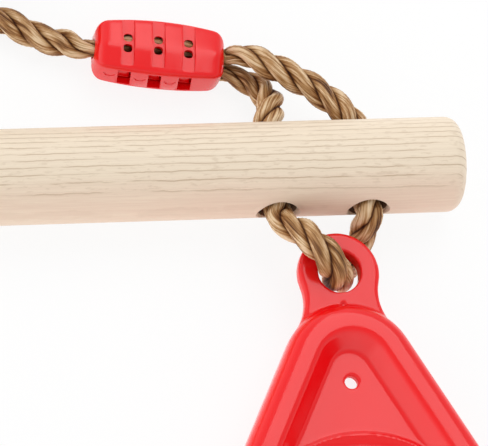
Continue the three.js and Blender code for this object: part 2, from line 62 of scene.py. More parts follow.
def fromBar(x, y, z):  # a place in mm, y counted from the bar's middle line and z from the floor
    return Vector((x * mm, barCentre.y + y * mm, z * mm))


# Camera: the photograph's own angle, looking steeply down from the front left
camera = {
    "x": -372.4, "y": -918.1, "z": 2257.4,
    "leanSide": 13.5, "leanFar": 21.2, "roll": 1.8,
    "lens": 503.5, "sensor": 36, "farthest": 20,
}


def makeCamera():
    side, far = math.sin(math.radians(camera["leanSide"])), math.sin(math.radians(camera["leanFar"]))
    forward = Vector((side, far, -math.sqrt(1 - side**2 - far**2)))
    right = (Vector((1, 0, 0)) - forward * forward.x).normalized()
    up = right.cross(forward)
    turn = Matrix.Rotation(math.radians(camera["roll"]), 3, forward)
    right, up = turn @ right, turn @ up
    data = bpy.data.cameras.new("photoCamera")
    data.sensor_width = camera["sensor"]
    data.lens = camera["lens"]
    data.clip_end = camera["farthest"]
    body = bpy.data.objects.new("photoCamera", data)
    bpy.context.scene.collection.objects.link(body)
    axes = Matrix((right, up, -forward)).transposed().to_4x4()
    body.matrix_world = Matrix.Translation(fromBar(camera["x"], camera["y"], camera["z"])) @ axes
    bpy.context.scene.camera = body


makeCamera()
print("camera placed")


# Meshes. Points of one mesh that lie this near each other, in metres, count as one
merging = {"doubles": 1e-7, "trimmed": 1e-6, "slivers": 1e-5}


def linked(name, data):
    piece = bpy.data.objects.new(name, data)
    bpy.context.scene.collection.objects.link(piece)
    return piece


def meshOf(bm, name="work"):
    mesh = bpy.data.meshes.new(name)
    bm.to_mesh(mesh)
    bm.free()
    return mesh


def evaluated(source):  # a mesh of the object as its modifiers or bevels leave it
    bpy.context.view_layer.update()
    depsgraph = bpy.context.evaluated_depsgraph_get()
    mesh = bpy.data.meshes.new_from_object(source.evaluated_get(depsgraph))
    bpy.data.objects.remove(source)
    return mesh


def closedUp(mesh, reach):  # merges points within reach, drops faces without area and turns faces out
    bm = bmesh.new()
    bm.from_mesh(mesh)
    bmesh.ops.remove_doubles(bm, verts=bm.verts, dist=reach)
    bmesh.ops.dissolve_degenerate(bm, edges=bm.edges, dist=reach)
    bmesh.ops.recalc_face_normals(bm, faces=bm.faces)
    bm.to_mesh(mesh)
    bm.free()
    return mesh


def faceOut(mesh):  # closes the seams of a tube and turns it the right way if it is inside out
    bm = bmesh.new()
    bm.from_mesh(mesh)
    bmesh.ops.remove_doubles(bm, verts=bm.verts, dist=merging["doubles"])
    if bm.calc_volume(signed=True) < 0:
        bmesh.ops.reverse_faces(bm, faces=bm.faces)
    bm.to_mesh(mesh)
    bm.free()
    return mesh


def withModifier(mesh, kind, **settings):
    piece = linked("work", mesh)
    modifier = piece.modifiers.new(kind, kind)
    for key, value in settings.items():
        setattr(modifier, key, value)
    return evaluated(piece)


def combine(mesh, cutter, operation="DIFFERENCE"):
    tool = linked("cutter", cutter)
    result = withModifier(mesh, "BOOLEAN", object=tool, operation=operation, solver="EXACT")
    bpy.data.objects.remove(tool)
    return result


def joined(*meshes):
    bm = bmesh.new()
    for mesh in meshes:
        bm.from_mesh(mesh)
    return meshOf(bm)


def blockMesh(width, depth, height, x, y, z, rounding=0.0):
    bm = bmesh.new()
    bmesh.ops.create_cube(bm, size=1)
    bmesh.ops.scale(bm, vec=(width, depth, height), verts=bm.verts)
    if rounding:
        bmesh.ops.bevel(bm, geom=bm.edges[:], offset=rounding, segments=2, affect="EDGES",
                        profile=0.5, material=-1)
    bmesh.ops.translate(bm, vec=(x, y, z), verts=bm.verts)
    return meshOf(bm)


def smoothShaded(mesh, angle=None):
    for face in mesh.polygons:
        face.use_smooth = True
    if angle is not None:
        mesh.set_sharp_from_angle(angle=math.radians(angle))
    return mesh


def placed(mesh, matrix):  # the mesh moved to its place; a mirror keeps its faces out
    mesh = mesh.copy()
    mesh.transform(matrix)
    if matrix.determinant() < 0:
        mesh.flip_normals()
    return mesh


def addPiece(name, mesh, finish, nodes, body=None):
    mesh.name = name
    mesh.materials.clear()
    mesh.materials.append(finish)
    piece = linked(name, mesh)
    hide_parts(*nodes)
    if body:
        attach(piece, body)
    return piece


# Materials
def newMaterial(name, **values):
    material = bpy.data.materials.new(name)
    material.use_nodes = True
    shader = material.node_tree.nodes["Principled BSDF"]
    for key, value in values.items():
        shader.inputs[key.replace("_", " ")].default_value = value
    return material, material.node_tree, shader


def node(tree, kind, inputs=None, output=0, **settings):
    made = tree.nodes.new("ShaderNode" + kind)
    for key, value in settings.items():
        setattr(made, key, value)
    for key, value in (inputs or {}).items():
        if isinstance(value, bpy.types.NodeSocket):
            tree.links.new(value, made.inputs[key])
        else:
            made.inputs[key].default_value = value
    return made.outputs[output]


def calc(tree, operation, first, second=0.0, third=0.0):
    return node(tree, "Math", {0: first, 1: second, 2: third}, operation=operation)


def blendColours(tree, share, first, second, mode="MIX"):
    return node(tree, "Mix", {0: share, 6: first, 7: second}, output=2, data_type="RGBA", blend_type=mode)


def ramp(tree, value, *stops):  # stops of (place, grey or colour)
    made = tree.nodes.new("ShaderNodeValToRGB")
    tree.links.new(value, made.inputs[0])
    elements = made.color_ramp.elements
    while len(elements) < len(stops):
        elements.new(0.5)
    for element, (place, colour) in zip(elements, stops):
        element.position = place
        element.color = colour if isinstance(colour, tuple) else grey(colour)
    return made.outputs[0]


def grey(level):
    return (level, level, level, 1)


def noise(tree, place, scale, detail, **more):  # scale is counts per metre, or a count for each axis
    if isinstance(scale, tuple):
        place, scale = node(tree, "Mapping", {"Vector": place, "Scale": scale}), 1.0
    return node(tree, "TexNoise", {"Vector": place, "Scale": scale, "Detail": detail, **more})


def bumped(tree, shader, height, strength, depth):  # depth in mm
    bump = node(tree, "Bump", {"Height": height, "Strength": strength, "Distance": depth * mm})
    tree.links.new(bump, shader.inputs["Normal"])


def objectPlace(tree):
    return node(tree, "TexCoord", output=3)


def split3(tree, vector):  # the x, y and z of a vector
    parts = tree.nodes.new("ShaderNodeSeparateXYZ")
    tree.links.new(vector, parts.inputs[0])
    return parts.outputs


bar = {
    "edge": 5.0, "edgeSteps": 8, "sides": 96, "stations": 60, "creaseAngle": 32,
    "hole": 14.0, "holeX": 254.0, "innerHoleX": 220.0, "holeSides": 48, "drillPast": 4.0,
    "mouthEase": 0.8, "mouthDepth": 0.4, "mouthRunShare": 2, "mouthFlareShare": 6,
}
# In each finish, rough is how far the roughness varies and where it starts, and depths are in mm
wood = {
    "cream": (0.80, 0.68, 0.53, 1), "tan": (0.73, 0.57, 0.44, 1), "line": (0.40, 0.27, 0.16, 1),
    "pale": (0.88, 0.77, 0.60, 1), "holeShade": (0.16, 0.085, 0.045, 1), "holeShadeMargin": 0.1,
    "ringSpacing": 2.5, "layerLean": 14, "bend": (5, 40, 40), "bendDepth": 2.4,
    "wave": (150, 120, 120), "waveDepth": 0.9, "dash": (55, 260, 260), "pore": (260, 900, 900),
    "streak": (45, 1500, 1500), "patch": (14, 60, 60), "frontShadeSpread": (0.9, 0.55),
    "lineShare": 0.78, "thinShare": 0.45, "streakShare": 0.35, "patchShare": 0.12,
    "rough": (0.2, 0.42), "streakHeight": 0.25, "bump": 0.35, "bumpDepth": 0.25,
}


def grainLines(tree, place, depth):  # dark where a growth layer ends, and in the pores
    bend, wave = wood["bendDepth"] * mm, wood["waveDepth"] * mm
    bent = calc(tree, "MULTIPLY_ADD", noise(tree, place, wood["bend"], 1.0), bend, -bend / 2)
    waved = calc(tree, "MULTIPLY_ADD", noise(tree, place, wood["wave"], 3.0), wave, -wave / 2)
    shifted = calc(tree, "ADD", depth, calc(tree, "ADD", bent, waved))
    layer = calc(tree, "DIVIDE", shifted, wood["ringSpacing"] * mm)
    share = calc(tree, "FRACT", layer)
    halfLayer = calc(tree, "FRACT", calc(tree, "MULTIPLY_ADD", layer, 2.0, 0.3))
    # Each layer ends in a thin dark line of pores, broken here and there, that fades on one side
    line = ramp(tree, share, (0.0, 1.0), (0.05, 0.75), (0.13, 0.12), (0.30, 0.0), (0.96, 0.0), (0.985, 1.0))
    thin = ramp(tree, halfLayer, (0.0, 0.5), (0.08, 0.0), (0.94, 0.0), (0.99, 0.5))
    broken = ramp(tree, noise(tree, place, wood["dash"], 3.0), (0.36, 0.15), (0.50, 1.0))
    flecks = ramp(tree, noise(tree, place, wood["pore"], 2.0), (0.56, 0.0), (0.70, 0.7))
    finer = calc(tree, "MULTIPLY", calc(tree, "MAXIMUM", thin, flecks), wood["thinShare"])
    lines = calc(tree, "MAXIMUM", calc(tree, "MULTIPLY", line, broken), finer)
    # At the front and the back the layers lie flat to the surface, and the lines fade
    fromMiddle = calc(tree, "ABSOLUTE", calc(tree, "DIVIDE", depth, barRadius))
    along = ramp(tree, fromMiddle, (0.80, 1.0), (0.95, 0.12))
    return calc(tree, "MULTIPLY", calc(tree, "MULTIPLY", lines, along), wood["lineShare"])


def shadeInRopeHoles(tree, centred):  # 1 inside the rope holes, which are painted in dark shade
    across = split3(tree, centred)
    inside = 0.0
    for holeX in (bar["holeX"], bar["innerHoleX"]):
        aside = calc(tree, "SUBTRACT", calc(tree, "ABSOLUTE", across[0]), holeX * mm)
        away = node(tree, "VectorMath", {0: node(tree, "CombineXYZ", {0: aside, 1: across[2]})},
                    output=1, operation="LENGTH")
        holeShade = calc(tree, "LESS_THAN", away, (bar["hole"] / 2 + wood["holeShadeMargin"]) * mm)
        inside = calc(tree, "MAXIMUM", inside, holeShade)
    return inside


def makeWood():
    material, tree, shader = newMaterial("sandedHardwood")
    place = objectPlace(tree)
    centred = node(tree, "VectorMath", {0: place, 1: (0, -barCentre.y, -barCentre.z)}, operation="ADD")
    # Growth rings are near-flat layers; their lean sets where the lines lie close together
    lean = math.radians(wood["layerLean"])
    depth = node(tree, "VectorMath", {0: centred, 1: (0, -math.cos(lean), math.sin(lean))},
                 output=1, operation="DOT_PRODUCT")
    drawn = grainLines(tree, place, depth)
    fine = noise(tree, place, wood["streak"], 4.0)
    streaks = ramp(tree, fine, (0.42, 0.0), (0.72, 1.0))
    patches = noise(tree, place, wood["patch"], 2.0)
    # Painted shade: towards the front the bar is coloured a darker pinkish tan, standing in for the shade on
    # its side turned from the light, broken up by patches
    paintedFrontShade = ramp(tree, calc(tree, "DIVIDE", depth, barRadius), (0.62, 0.0), (0.99, 1.0))
    patchyFrontShade = calc(tree, "MULTIPLY", calc(tree, "MULTIPLY_ADD", patches, *wood["frontShadeSpread"]), paintedFrontShade)
    base = blendColours(tree, patchyFrontShade, wood["cream"], wood["tan"])
    paler = blendColours(tree, calc(tree, "MULTIPLY", streaks, wood["streakShare"]), base, wood["pale"])
    body = blendColours(tree, calc(tree, "MULTIPLY", patches, wood["patchShare"]), paler, wood["tan"])
    grained = blendColours(tree, drawn, body, wood["line"])
    # Painted shade: the inside of each rope hole is coloured dark brown
    colour = blendColours(tree, shadeInRopeHoles(tree, centred), grained, wood["holeShade"])
    tree.links.new(colour, shader.inputs["Base Color"])
    height = calc(tree, "SUBTRACT", calc(tree, "MULTIPLY", fine, wood["streakHeight"]), drawn)
    bumped(tree, shader, height, wood["bump"], wood["bumpDepth"])
    tree.links.new(calc(tree, "MULTIPLY_ADD", fine, *wood["rough"]), shader.inputs["Roughness"])
    return material


redPlastic = {
    "colour": (0.85, 0.005, 0.008, 1), "deep": (0.80, 0.003, 0.005, 1), "flow": 28.0, "swirl": 0.6,
    "scuff": (240, 60, 240), "rough": (0.10, 0.15), "peel": 420.0, "bump": 0.04, "bumpDepth": 0.10,
}


def makePlastic():
    material, tree, shader = newMaterial("redMouldedPlastic", IOR=1.5)
    place = objectPlace(tree)
    flow = noise(tree, place, redPlastic["flow"], 3.0, Distortion=redPlastic["swirl"])
    colour = blendColours(tree, flow, redPlastic["deep"], redPlastic["colour"])
    tree.links.new(colour, shader.inputs["Base Color"])
    worn = ramp(tree, noise(tree, place, redPlastic["scuff"], 4.0), (0.50, 0.0), (0.78, 1.0))
    tree.links.new(calc(tree, "MULTIPLY_ADD", worn, *redPlastic["rough"]), shader.inputs["Roughness"])
    peel = noise(tree, place, redPlastic["peel"], 2.0)
    bumped(tree, shader, peel, redPlastic["bump"], redPlastic["bumpDepth"])
    return material


strandCount = 3  # of each rope
ropeFinish = {
    "dark": (0.075, 0.022, 0.004, 1), "brown": (0.26, 0.110, 0.032, 1),
    "tan": (0.49, 0.265, 0.104, 1), "pale": (0.82, 0.61, 0.385, 1),
    "grooveSideShade": (0.70, 0.56, 0.40, 1), "groove": (0.13, 0.06, 0.03, 1),
    "acrossYarns": 46.0, "alongYarns": 2.6, "counterLay": 0.74, "strandShift": 7.3,
    "hairStretch": (0.9, 0.42, 1.0), "hairShare": 0.45, "yarnShare": 0.6, "broadShare": 0.35,
    "mixShare": 0.8, "broadPerTurn": 2.1, "rough": (-0.25, 0.50), "hairHeight": 0.5,
    "bump": 1.0, "bumpDepth": 0.7,
}


def makeRopeFinish():  # follows the lay: u counts the rope's turns, v goes once round it
    material, tree, shader = newMaterial("hempColouredRope", Specular_IOR_Level=0.3)
    lay = split3(tree, node(tree, "UVMap", uv_map="lay"))
    turns, girth = lay[0], lay[1]
    strands = calc(tree, "MULTIPLY", girth, float(strandCount))
    fromMiddle = calc(tree, "ABSOLUTE", calc(tree, "SUBTRACT", calc(tree, "FRACT", strands), 0.5))
    inGroove = calc(tree, "MULTIPLY", fromMiddle, 2.0)
    # The yarns of each strand are laid the other way, so they run nearly along the rope
    across = calc(tree, "ADD", girth, calc(tree, "MULTIPLY", turns, -ropeFinish["counterLay"]))
    strandNumber = calc(tree, "MULTIPLY", calc(tree, "FLOOR", strands), ropeFinish["strandShift"])
    yarnPlace = node(tree, "CombineXYZ", {
        0: calc(tree, "MULTIPLY", turns, ropeFinish["alongYarns"]),
        1: calc(tree, "MULTIPLY", across, ropeFinish["acrossYarns"]), 2: strandNumber})
    broadPlace = node(tree, "CombineXYZ", {
        0: calc(tree, "MULTIPLY", turns, ropeFinish["broadPerTurn"]), 1: strands, 2: strandNumber})
    yarns = noise(tree, yarnPlace, 1.0, 4.0, Roughness=0.65)
    hairs = noise(tree, yarnPlace, ropeFinish["hairStretch"], 3.0)
    broad = noise(tree, broadPlace, 1.0, 1.0)
    yarnTone = calc(tree, "MULTIPLY", yarns, ropeFinish["yarnShare"])
    mixed = calc(tree, "MULTIPLY_ADD", hairs, ropeFinish["hairShare"], yarnTone)
    mixedTone = calc(tree, "MULTIPLY", mixed, ropeFinish["mixShare"])
    tone = calc(tree, "MULTIPLY_ADD", broad, ropeFinish["broadShare"], mixedTone)
    # Yarn tone from noise; its darkest stops are partly painted shade in the gaps between yarns, and its
    # palest partly painted glints on them
    colour = ramp(tree, tone, (0.46, ropeFinish["dark"]), (0.53, ropeFinish["brown"]),
                  (0.59, ropeFinish["tan"]), (0.66, ropeFinish["pale"]))
    # Painted shade: the colour is darkened towards the valleys between the strands
    shade = ramp(tree, inGroove, (0.55, 1.0), (0.82, ropeFinish["grooveSideShade"]), (0.97, ropeFinish["groove"]))
    tree.links.new(blendColours(tree, 1.0, colour, shade, "MULTIPLY"), shader.inputs["Base Color"])
    height = calc(tree, "MULTIPLY_ADD", hairs, ropeFinish["hairHeight"], yarns)
    bumped(tree, shader, height, ropeFinish["bump"], ropeFinish["bumpDepth"])
    matt = ramp(tree, inGroove, (0.5, 0.0), (0.9, 0.5))
    smooth = calc(tree, "MULTIPLY_ADD", yarns, *ropeFinish["rough"])
    tree.links.new(calc(tree, "ADD", matt, smooth), shader.inputs["Roughness"])
    return material


zinc = {
    "dull": (0.50, 0.51, 0.53, 1), "bright": (0.72, 0.73, 0.74, 1), "cloud": 260.0,
    "rough": (0.25, 0.16), "bump": 0.15, "bumpDepth": 0.1,
}


def makeSteel():
    material, tree, shader = newMaterial("zincPlatedSteel", Metallic=1.0)
    cloudy = noise(tree, objectPlace(tree), zinc["cloud"], 5.0)
    tone = ramp(tree, cloudy, (0.3, zinc["dull"]), (0.7, zinc["bright"]))
    tree.links.new(tone, shader.inputs["Base Color"])
    tree.links.new(calc(tree, "MULTIPLY_ADD", cloudy, *zinc["rough"]), shader.inputs["Roughness"])
    bumped(tree, shader, cloudy, zinc["bump"], zinc["bumpDepth"])
    return material


woodFinish, plasticFinish, ropeLook, steelFinish = makeWood(), makePlastic(), makeRopeFinish(), makeSteel()
print("finishes made")

# Wooden bar: a turned dowel, its ends rounded, with two rope holes with eased mouths at each end
def lathed(profile, axis, segments):  # spins a profile of (along, radius) about an axis
    bm = bmesh.new()
    corners = [bm.verts.new((along, radius, 0)) for along, radius in profile]
    edges = [bm.edges.new(pair) for pair in zip(corners, corners[1:])]
    bmesh.ops.spin(bm, geom=corners + edges, cent=(0, 0, 0), axis=(1, 0, 0), dvec=(0, 0, 0),
                   angle=2 * math.pi, steps=segments, use_merge=True)
    bmesh.ops.remove_doubles(bm, verts=bm.verts, dist=merging["doubles"])
    bmesh.ops.recalc_face_normals(bm, faces=bm.faces)
    bmesh.ops.rotate(bm, cent=(0, 0, 0), verts=bm.verts,
                     matrix=Vector((1, 0, 0)).rotation_difference(Vector(axis)).to_matrix())
    return meshOf(bm)


def arc(radius, start, end, steps, centre=(0, 0)):  # points of (along, radius) on an arc, in degrees
    turns = [math.radians(start + (end - start) * i / steps) for i in range(steps + 1)]
    return [(centre[0] + radius * math.cos(t), centre[1] + radius * math.sin(t)) for t in turns]


def makeBar():
    half, edge = barLength / 2, bar["edge"] * mm
    rim, steps = barRadius - edge, bar["stations"]
    stations = [(-half + edge + (2 * half - 2 * edge) * i / steps, barRadius) for i in range(1, steps)]
    profile = [(-half, 0), *arc(edge, 180, 90, bar["edgeSteps"], (-half + edge, rim)), *stations,
               *arc(edge, 90, 0, bar["edgeSteps"], (half - edge, rim)), (half, 0)]
    dowel = lathed(profile, (1, 0, 0), bar["sides"])
    drill, ease = bar["hole"] / 2 * mm, bar["mouthEase"] * mm
    reach = barRadius + bar["drillPast"] * mm
    mouth = barRadius - bar["mouthDepth"] * mm
    flare, run = drill + bar["mouthFlareShare"] * ease, bar["mouthRunShare"] * ease
    bit = [(-reach, 0), (-reach, flare), (-mouth, drill + ease), (-mouth + run, drill),
           (mouth - run, drill), (mouth, drill + ease), (reach, flare), (reach, 0)]
    drills = [placed(lathed(bit, (0, 1, 0), bar["holeSides"]), Matrix.Translation((x * mm, 0, 0)))
              for x in (-bar["holeX"], -bar["innerHoleX"], bar["innerHoleX"], bar["holeX"])]
    body = combine(dowel, joined(*drills))
    body.transform(Matrix.Translation(barCentre))
    addPiece("barTurned", smoothShaded(body, bar["creaseAngle"]), woodFinish, ["bar"], "bar")


makeBar()
print("bar turned")

# Three-strand rope, right-laid: the section has three lobes and turns once per lay
rope = {
    "diameter": 12.0, "squeezed": 7.5, "lay": 34.0, "lobe": 0.495, "lobeOut": 0.42, "lobeSteps": 9,
    "spacing": 1.5, "curveSteps": 16, "innerLegTurn": 0.5, "legInHole": 14.0, "loopInHole": 12.0,
    "loopReach": 42.2, "loopSwell": 0.11, "bendStart": 4.0, "bendEnd": 9.0,
}


def lobedSection():  # for each strand, the arc that shows between its two valleys
    lobe, out, half = rope["lobe"], rope["lobeOut"], math.pi / strandCount
    valley = out * math.cos(half) + math.sqrt(lobe**2 - (out * math.sin(half)) ** 2)
    reach = math.atan2(valley * math.sin(half), valley * math.cos(half) - out)
    points = []
    for strand in range(strandCount):
        middle = (2 * strand + 1) * half
        for i in range(rope["lobeSteps"]):
            turn = -reach + 2 * reach * i / rope["lobeSteps"]
            along, side = out + lobe * math.cos(turn), lobe * math.sin(turn)
            points.append((along * math.cos(middle) - side * math.sin(middle),
                           along * math.sin(middle) + side * math.cos(middle)))
    return points


def roundSection(sides):
    return arc(1, 0, 360 * (sides - 1) / sides, sides - 1)


def profileCurve(points):
    data = bpy.data.curves.new("section", "CURVE")
    spline = data.splines.new("POLY")
    spline.points.add(len(points) - 1)
    for point, (x, y) in zip(spline.points, points):
        point.co = (x, y, 0, 1)
    spline.use_cyclic_u = True
    return linked("section", data)


def smoothLine(stops, spacing):
    # A centripetal Catmull-Rom curve through stops of (x, y, z, radius), at even steps
    stops = np.array(stops, float)
    ends = np.vstack([2 * stops[0] - stops[1], stops, 2 * stops[-1] - stops[-2]])
    dense = []
    for a, b, c, d in zip(ends, ends[1:], ends[2:], ends[3:]):
        t1 = np.linalg.norm(b[:3] - a[:3]) ** 0.5
        t2 = t1 + np.linalg.norm(c[:3] - b[:3]) ** 0.5
        t3 = t2 + np.linalg.norm(d[:3] - c[:3]) ** 0.5
        for t in np.linspace(t1, t2, rope["curveSteps"] + 1)[:-1]:
            ab, bc = a + (b - a) * t / t1, b + (c - b) * (t - t1) / (t2 - t1)
            cd = c + (d - c) * (t - t2) / (t3 - t2)
            abc, bcd = ab + (bc - ab) * t / t2, bc + (cd - bc) * (t - t1) / (t3 - t1)
            at = abc + (bcd - abc) * (t - t1) / (t2 - t1)
            share = (t - t1) / (t2 - t1)
            at[3] = b[3] + (c[3] - b[3]) * share
            dense.append(at)
    dense.append(ends[-2])
    dense = np.array(dense)
    walked = np.concatenate([[0], np.cumsum(np.linalg.norm(np.diff(dense[:, :3], axis=0), axis=1))])
    even = np.linspace(0, walked[-1], max(2, round(walked[-1] / spacing) + 1))
    return np.stack([np.interp(even, walked, dense[:, k]) for k in range(4)], 1), walked[-1]


def sweptMesh(line, section, lay=0.0, closed=False, phase=0.0):
    outline = profileCurve(section)
    data = bpy.data.curves.new("sweep", "CURVE")
    data.dimensions = "3D"
    data.bevel_mode = "OBJECT"
    data.bevel_object = outline
    data.use_fill_caps = not closed
    data.twist_mode = "MINIMUM"
    spline = data.splines.new("POLY")
    spline.points.add(len(line) - 1)
    walked = 0.0
    for i, (x, y, z, radius) in enumerate(line):
        if i:
            walked += math.dist(line[i][:3], line[i - 1][:3])
        point = spline.points[i]
        point.co = (x, y, z, 1)
        point.radius = radius
        point.tilt = phase + (2 * math.pi * walked / lay if lay else 0.0)
    spline.use_cyclic_u = closed
    mesh = evaluated(linked("sweep", data))
    bpy.data.objects.remove(outline)
    return mesh, walked


def ropeMesh(stops, phase=0.0):
    line, length = smoothLine(stops, rope["spacing"] * mm)
    mesh, walked = sweptMesh(line, lobedSection(), rope["lay"] * mm, phase=phase)
    uv = mesh.uv_layers.active or mesh.uv_layers.new()
    uv.name = "lay"
    for corner in uv.data:
        corner.uv.x *= walked / (rope["lay"] * mm)
    return smoothShaded(faceOut(mesh)), line, length


def ropeFits(name, stops, nodes, body=None, phase=0.0):
    mesh, line, length = ropeMesh(stops, phase)
    return addPiece(name, mesh, ropeLook, nodes, body), line, length


# Rope clamp: a barrel in two shells. Its own frame has +X at the end where two ropes come out
clamp = {
    "length": 48.3, "width": 22.0, "height": 19.0, "endShare": 0.83, "rounding": 4.2,
    "roofSlope": 0.20, "crest": -1.0, "crestEase": 0.8, "shoulder": 1.9, "baseShare": 0.955,
    "wall": 2.2, "split": -5.6, "gap": 0.3, "nip": 0.05,
    "slotWidth": 4.7, "slotPitch": 11.3, "slotShift": 1.1, "slotFront": -8.4, "slotBack": 12.0,
    "slotDepth": 1.9, "slotSlope": 0.05,
    "peepLength": 3.3, "rearPeep": 3.2, "frontPeep": 3.3, "peepBridge": 1.0, "peepOffset": 0.7,
    "peepCorner": 1.2,
    "windowWidth": 4.8, "windowHigh": 6.1, "windowLow": -4.6, "windowLean": 0.12,
    "windowRounding": 0.25, "hookSetback": 3.4, "hookThickness": 0.9, "hookRoot": 2.0,
    "pocketRoot": 1.0, "catchDepth": 0.5, "catchHeight": 1.2, "catchSunk": 0.1, "hookRounding": 0.2,
    "toothThickness": 2.0, "chamberRounding": 0.6, "edge": 0.3, "creaseAngle": 38, "smoothAngle": 30,
    "nailWidth": 4.2, "nailTop": 1.9, "nailGroove": 0.4, "nailOut": 0.06, "nailSteps": 8,
    "tailInset": 6.0, "strandTurn": 5.0, "strandAside": 3.0, "strandRise": 2.9, "strandFall": 6.5,
    "exitAside": 1.2, "exitRise": 1.4, "tailAside": 2.9, "tailRise": 2.8,
    "lengthSteps": 14, "noseSteps": 6, "shoulderSteps": 6, "roofSteps": 10, "slotSteps": 30,
    "waySides": 20, "wayStep": 2.0,
}
# Where the clamps lie, seen from above: how far in from the outer hole, how far out, and their turn
lowerClamp = {"inboard": 69.7, "fromBar": 49.84, "heading": -7.9}
topClamp = {"inboard": 50.0, "fromBar": 199.0, "heading": -20.0}


def clampFrame(spot, side):  # where a clamp lies, in metres
    x = (bar["holeX"] - spot["inboard"]) * side
    turn = Matrix.Rotation(math.radians(spot["heading"]), 4, "Z")
    mirror = Matrix.Scale(side, 4, (1, 0, 0))
    return Matrix.Translation(fromBar(0, spot["fromBar"], clamp["height"] / 2)) @ \
        Matrix.Translation((x * mm, 0, 0)) @ mirror @ turn


clampHalf = clamp["length"] / 2
squeezed = rope["squeezed"] / 2
strandWay = [
    (-clampHalf, 0, 0), (-clampHalf + clamp["strandTurn"], 0, 0),
    (-clamp["tailInset"] - clamp["strandTurn"], clamp["strandAside"], clamp["strandRise"]),
    (-clamp["tailInset"], clamp["strandAside"], clamp["strandRise"]),
    (clampHalf - clamp["strandFall"] - clamp["strandTurn"], clamp["strandAside"], clamp["strandRise"]),
    (clampHalf - clamp["strandFall"], clamp["strandAside"], clamp["strandRise"]),
    (clampHalf, clamp["exitAside"], clamp["exitRise"]),
]
tailWay = [(clampHalf, -clamp["tailAside"], -clamp["tailRise"]),
           (-clamp["tailInset"], -clamp["tailAside"], -clamp["tailRise"])]


def belly(x):  # the barrel's girth at x, as a share of its middle
    return 1 - (1 - clamp["endShare"]) * (x / clampHalf) ** 2


def roof(y):  # the height of the barrel's two-sided roof, which has an eased crest
    ease = clamp["crestEase"]
    return clamp["height"] / 2 - clamp["roofSlope"] * (math.hypot(y - clamp["crest"], ease) - ease)


def barrelSection():  # the roof and its rounded shoulders over upright sides, and the same turned over
    side, shoulder = clamp["width"] / 2, clamp["shoulder"]
    lean = math.atan(clamp["roofSlope"])
    edge = side - shoulder * (1 - math.sin(lean))
    drop = shoulder * math.cos(lean)
    steps, corner = clamp["roofSteps"], clamp["shoulderSteps"]
    top = [*arc(shoulder, 0, 90 - math.degrees(lean), corner, (side - shoulder, roof(edge) - drop)),
           *[(edge * (1 - i / steps), roof(edge * (1 - i / steps))) for i in range(1, 2 * steps)],
           *arc(shoulder, 90 + math.degrees(lean), 180, corner, (shoulder - side, roof(-edge) - drop))]
    return top + [(-y, -z) for y, z in top]


def barrelMesh():
    flat, rounding = clampHalf - clamp["rounding"], clamp["rounding"]
    half, noseSteps = clamp["lengthSteps"], clamp["noseSteps"]
    turns = [math.radians(90 * i / noseSteps) for i in range(1, noseSteps + 1)]
    nose = [(flat + rounding * math.sin(t), rounding * (1 - math.cos(t))) for t in turns]
    stations = [(-x, inset) for x, inset in reversed(nose)] + \
        [(flat * (i / half - 1), 0) for i in range(2 * half + 1)] + nose
    girths = [(1, belly(x) - 2 * inset / clamp["width"], belly(x) - 2 * inset / clamp["height"])
              for x, inset in stations]
    bm = bmesh.new()
    corners = [bm.verts.new((0, y, z)) for y, z in barrelSection()]
    edges = [bm.edges.new(pair) for pair in zip(corners, corners[1:] + corners[:1])]
    bmesh.ops.scale(bm, vec=girths[0], verts=corners)
    bmesh.ops.translate(bm, vec=(stations[0][0], 0, 0), verts=corners)
    for i in range(1, len(stations)):
        grown = bmesh.ops.extrude_edge_only(bm, edges=edges)["geom"]
        corners = [g for g in grown if isinstance(g, bmesh.types.BMVert)]
        edges = [g for g in grown if isinstance(g, bmesh.types.BMEdge) and all(v in corners for v in g.verts)]
        bmesh.ops.translate(bm, vec=(stations[i][0] - stations[i - 1][0], 0, 0), verts=corners)
        bmesh.ops.scale(bm, vec=[new / old for new, old in zip(girths[i], girths[i - 1])], verts=corners)
    bmesh.ops.holes_fill(bm, edges=bm.edges, sides=0)
    bmesh.ops.scale(bm, vec=(mm, mm, mm), verts=bm.verts)
    bmesh.ops.recalc_face_normals(bm, faces=bm.faces)
    return meshOf(bm)


def slotMesh(x):  # cuts a slot whose floor is flatter than the roof
    front, back, share = clamp["slotFront"], clamp["slotBack"], belly(x)
    bm = bmesh.new()
    bmesh.ops.create_grid(bm, x_segments=1, y_segments=clamp["slotSteps"], size=0.5)
    bmesh.ops.scale(bm, vec=(clamp["slotWidth"], back - front, 1), verts=bm.verts)
    bmesh.ops.translate(bm, vec=(x, (back + front) / 2, 0), verts=bm.verts)
    for vert in bm.verts:
        fall = (roof(0) - roof(vert.co.y / share)) * clamp["slotSlope"] / clamp["roofSlope"]
        vert.co.z = (roof(0) - fall) * share - clamp["slotDepth"]
    grown = bmesh.ops.extrude_face_region(bm, geom=bm.faces[:])["geom"]
    risen = [g for g in grown if isinstance(g, bmesh.types.BMVert)]
    bmesh.ops.translate(bm, vec=(0, 0, clamp["height"]), verts=risen)
    bmesh.ops.scale(bm, vec=(mm, mm, mm), verts=bm.verts)
    bmesh.ops.recalc_face_normals(bm, faces=bm.faces)
    return meshOf(bm)


def tubeMesh(points, radius):
    line, _ = smoothLine([(*(Vector(p) * mm), radius * mm) for p in points], clamp["wayStep"] * mm)
    return faceOut(sweptMesh(line, roundSection(clamp["waySides"]))[0])


